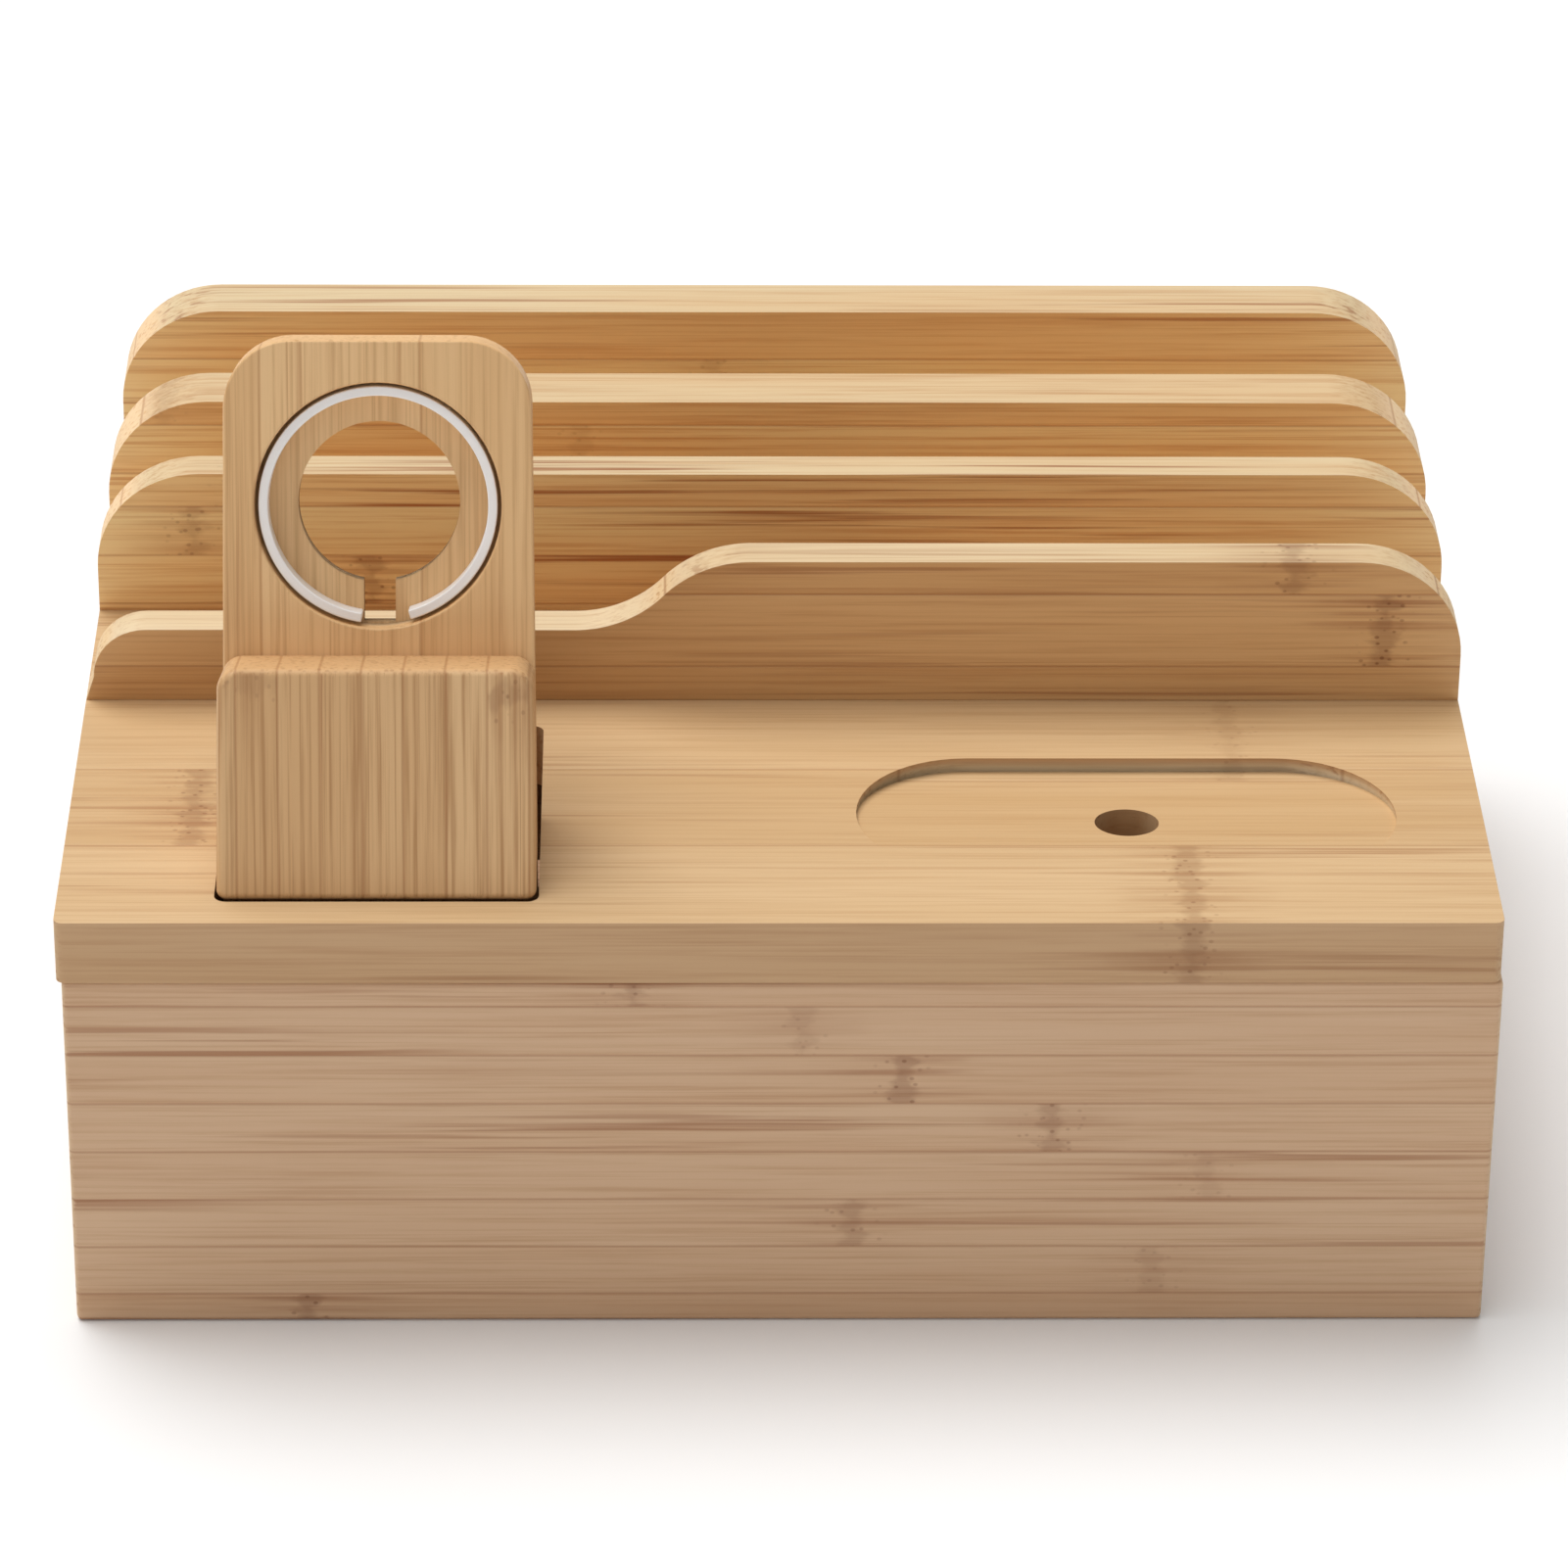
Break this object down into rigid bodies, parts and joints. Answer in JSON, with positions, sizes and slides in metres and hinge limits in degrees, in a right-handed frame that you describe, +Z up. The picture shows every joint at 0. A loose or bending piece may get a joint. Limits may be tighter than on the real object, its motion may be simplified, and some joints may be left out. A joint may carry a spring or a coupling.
{
  "type": "charging station organizer",
  "caption": "Wooden box with a lift-off lid that carries upright device dividers, a sloping phone dock and a leaning pull-out stand for a watch charger.",
  "frame": {"origin": "middle of the underside of the box", "axes": "+X to the right seen from the front, +Y to the back, +Z up"},
  "size_m": [0.1806, 0.1466, 0.1195],
  "materials": {
    "box_wood": "satin",
    "lid_wood": "satin",
    "divider_wood": "satin",
    "stand_wood": "satin",
    "hidden_wood": "matte",
    "ring_plastic": "satin",
    "screw_steel": "zinc plated"
  },
  "bodies": {
    "base": {"front_panel": "box_wood", "back_panel": "box_wood", "left_panel": "box_wood", "right_panel": "box_wood", "base_panel": "hidden_wood"},
    "lid": {"lid_board": "lid_wood", "left_batten": "hidden_wood", "right_batten": "hidden_wood", "stand_socket": "hidden_wood", "front_divider": "divider_wood", "second_divider": "divider_wood", "third_divider": "divider_wood", "rear_divider": "divider_wood", "lid_screws": "screw_steel"},
    "watch_stand": {"watch_back_plate": "stand_wood", "watch_front_block": "stand_wood", "watch_retainer_ring": "ring_plastic"}
  },
  "joints": [
    {"name": "lid_lift", "type": "slide", "parent": "base", "child": "lid", "axis": [0, 0, 1], "range_m": [0, 0.04]},
    {"name": "stand_pull", "type": "slide", "parent": "lid", "child": "watch_stand", "axis": [0, 0.3338, 0.9426], "range_m": [0, 0.035]}
  ]
}
